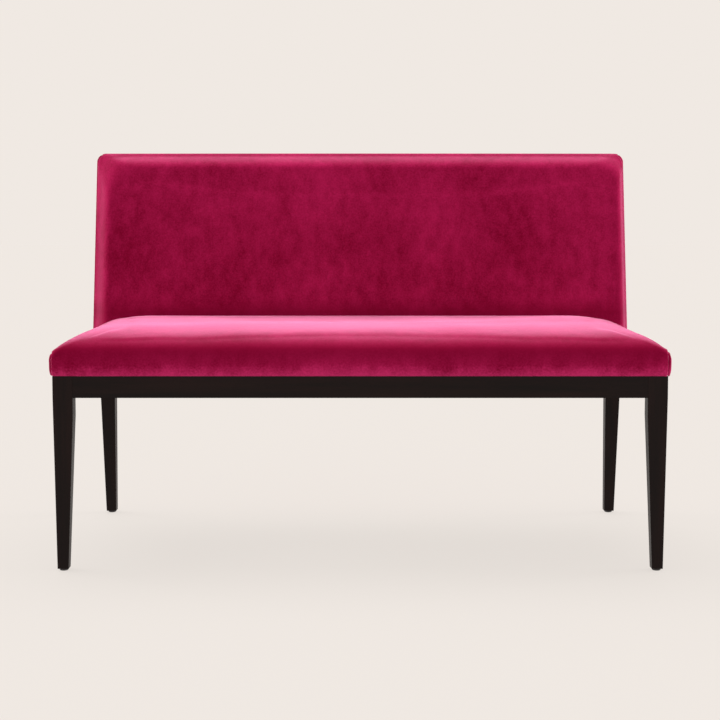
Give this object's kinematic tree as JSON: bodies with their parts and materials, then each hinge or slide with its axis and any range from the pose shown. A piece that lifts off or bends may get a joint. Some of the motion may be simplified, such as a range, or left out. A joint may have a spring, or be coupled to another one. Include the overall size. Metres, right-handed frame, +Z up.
{
  "type": "upholstered settee",
  "caption": "Low-backed upholstered bench settee: a reclined back and long crowned seat on a dark wooden base with tapered legs.",
  "frame": {"origin": "on the floor, below the middle of the settee's overall width and depth", "axes": "+X to the settee's left as one sits in it, along its width, +Y towards its back, +Z up"},
  "size_m": [1.3354, 0.6514, 0.919],
  "materials": {
    "espresso_wood": "dark espresso stain under a satin lacquer",
    "raspberry_velvet": "short-pile velvet with a strong sheen",
    "frame_hardwood": "unfinished sawn hardwood",
    "upholstery_foam": "polyurethane foam",
    "polyester_batting": "lofted polyester wadding",
    "jute_webbing": "woven jute webbing",
    "black_cambric": "thin non-woven dust cloth",
    "back_panel_board": "pressed fibre board",
    "tacking_card": "stiff upholsterer's strip",
    "zinc_steel": "zinc-plated steel",
    "glide_nylon": "moulded nylon"
  },
  "bodies": {
    "root": {"back_batting": "polyester_batting", "back_bottom_rail": "frame_hardwood", "back_boxing_left": "raspberry_velvet", "back_boxing_right": "raspberry_velvet", "back_centre_stile": "frame_hardwood", "back_cover_main": "raspberry_velvet", "back_foam": "upholstery_foam", "back_rail_dowels": "frame_hardwood", "back_tacking_strip": "tacking_card", "back_top_rail": "frame_hardwood", "back_webbing_across": "jute_webbing", "back_webbing_staples": "zinc_steel", "back_webbing_upright": "jute_webbing", "centre_cross_rail": "frame_hardwood", "corner_block_front_left": "frame_hardwood", "corner_block_front_right": "frame_hardwood", "corner_block_rear_left": "frame_hardwood", "corner_block_rear_right": "frame_hardwood", "corner_block_screws": "zinc_steel", "front_left_glide": "glide_nylon", "front_left_leg": "espresso_wood", "front_rail": "espresso_wood", "front_right_glide": "glide_nylon", "front_right_leg": "espresso_wood", "glide_pins": "zinc_steel", "left_side_rail": "espresso_wood", "outside_back_board": "back_panel_board", "outside_back_cover": "raspberry_velvet", "rear_left_glide": "glide_nylon", "rear_left_post": "espresso_wood", "rear_rail": "espresso_wood", "rear_right_glide": "glide_nylon", "rear_right_post": "espresso_wood", "right_side_rail": "espresso_wood", "seat_batting": "polyester_batting", "seat_boxing_left": "raspberry_velvet", "seat_boxing_right": "raspberry_velvet", "seat_cover_main": "raspberry_velvet", "seat_dust_cover": "black_cambric", "seat_fixing_screws": "zinc_steel", "seat_foam": "upholstery_foam", "seat_frame_dowels": "frame_hardwood", "seat_frame_front_rail": "frame_hardwood", "seat_frame_left_rail": "frame_hardwood", "seat_frame_rear_rail": "frame_hardwood", "seat_frame_right_rail": "frame_hardwood", "seat_frame_spreader": "frame_hardwood", "seat_support_rail": "frame_hardwood", "seat_webbing_cross": "jute_webbing", "seat_webbing_long": "jute_webbing", "seat_webbing_staples": "zinc_steel"}
  },
  "joints": []
}
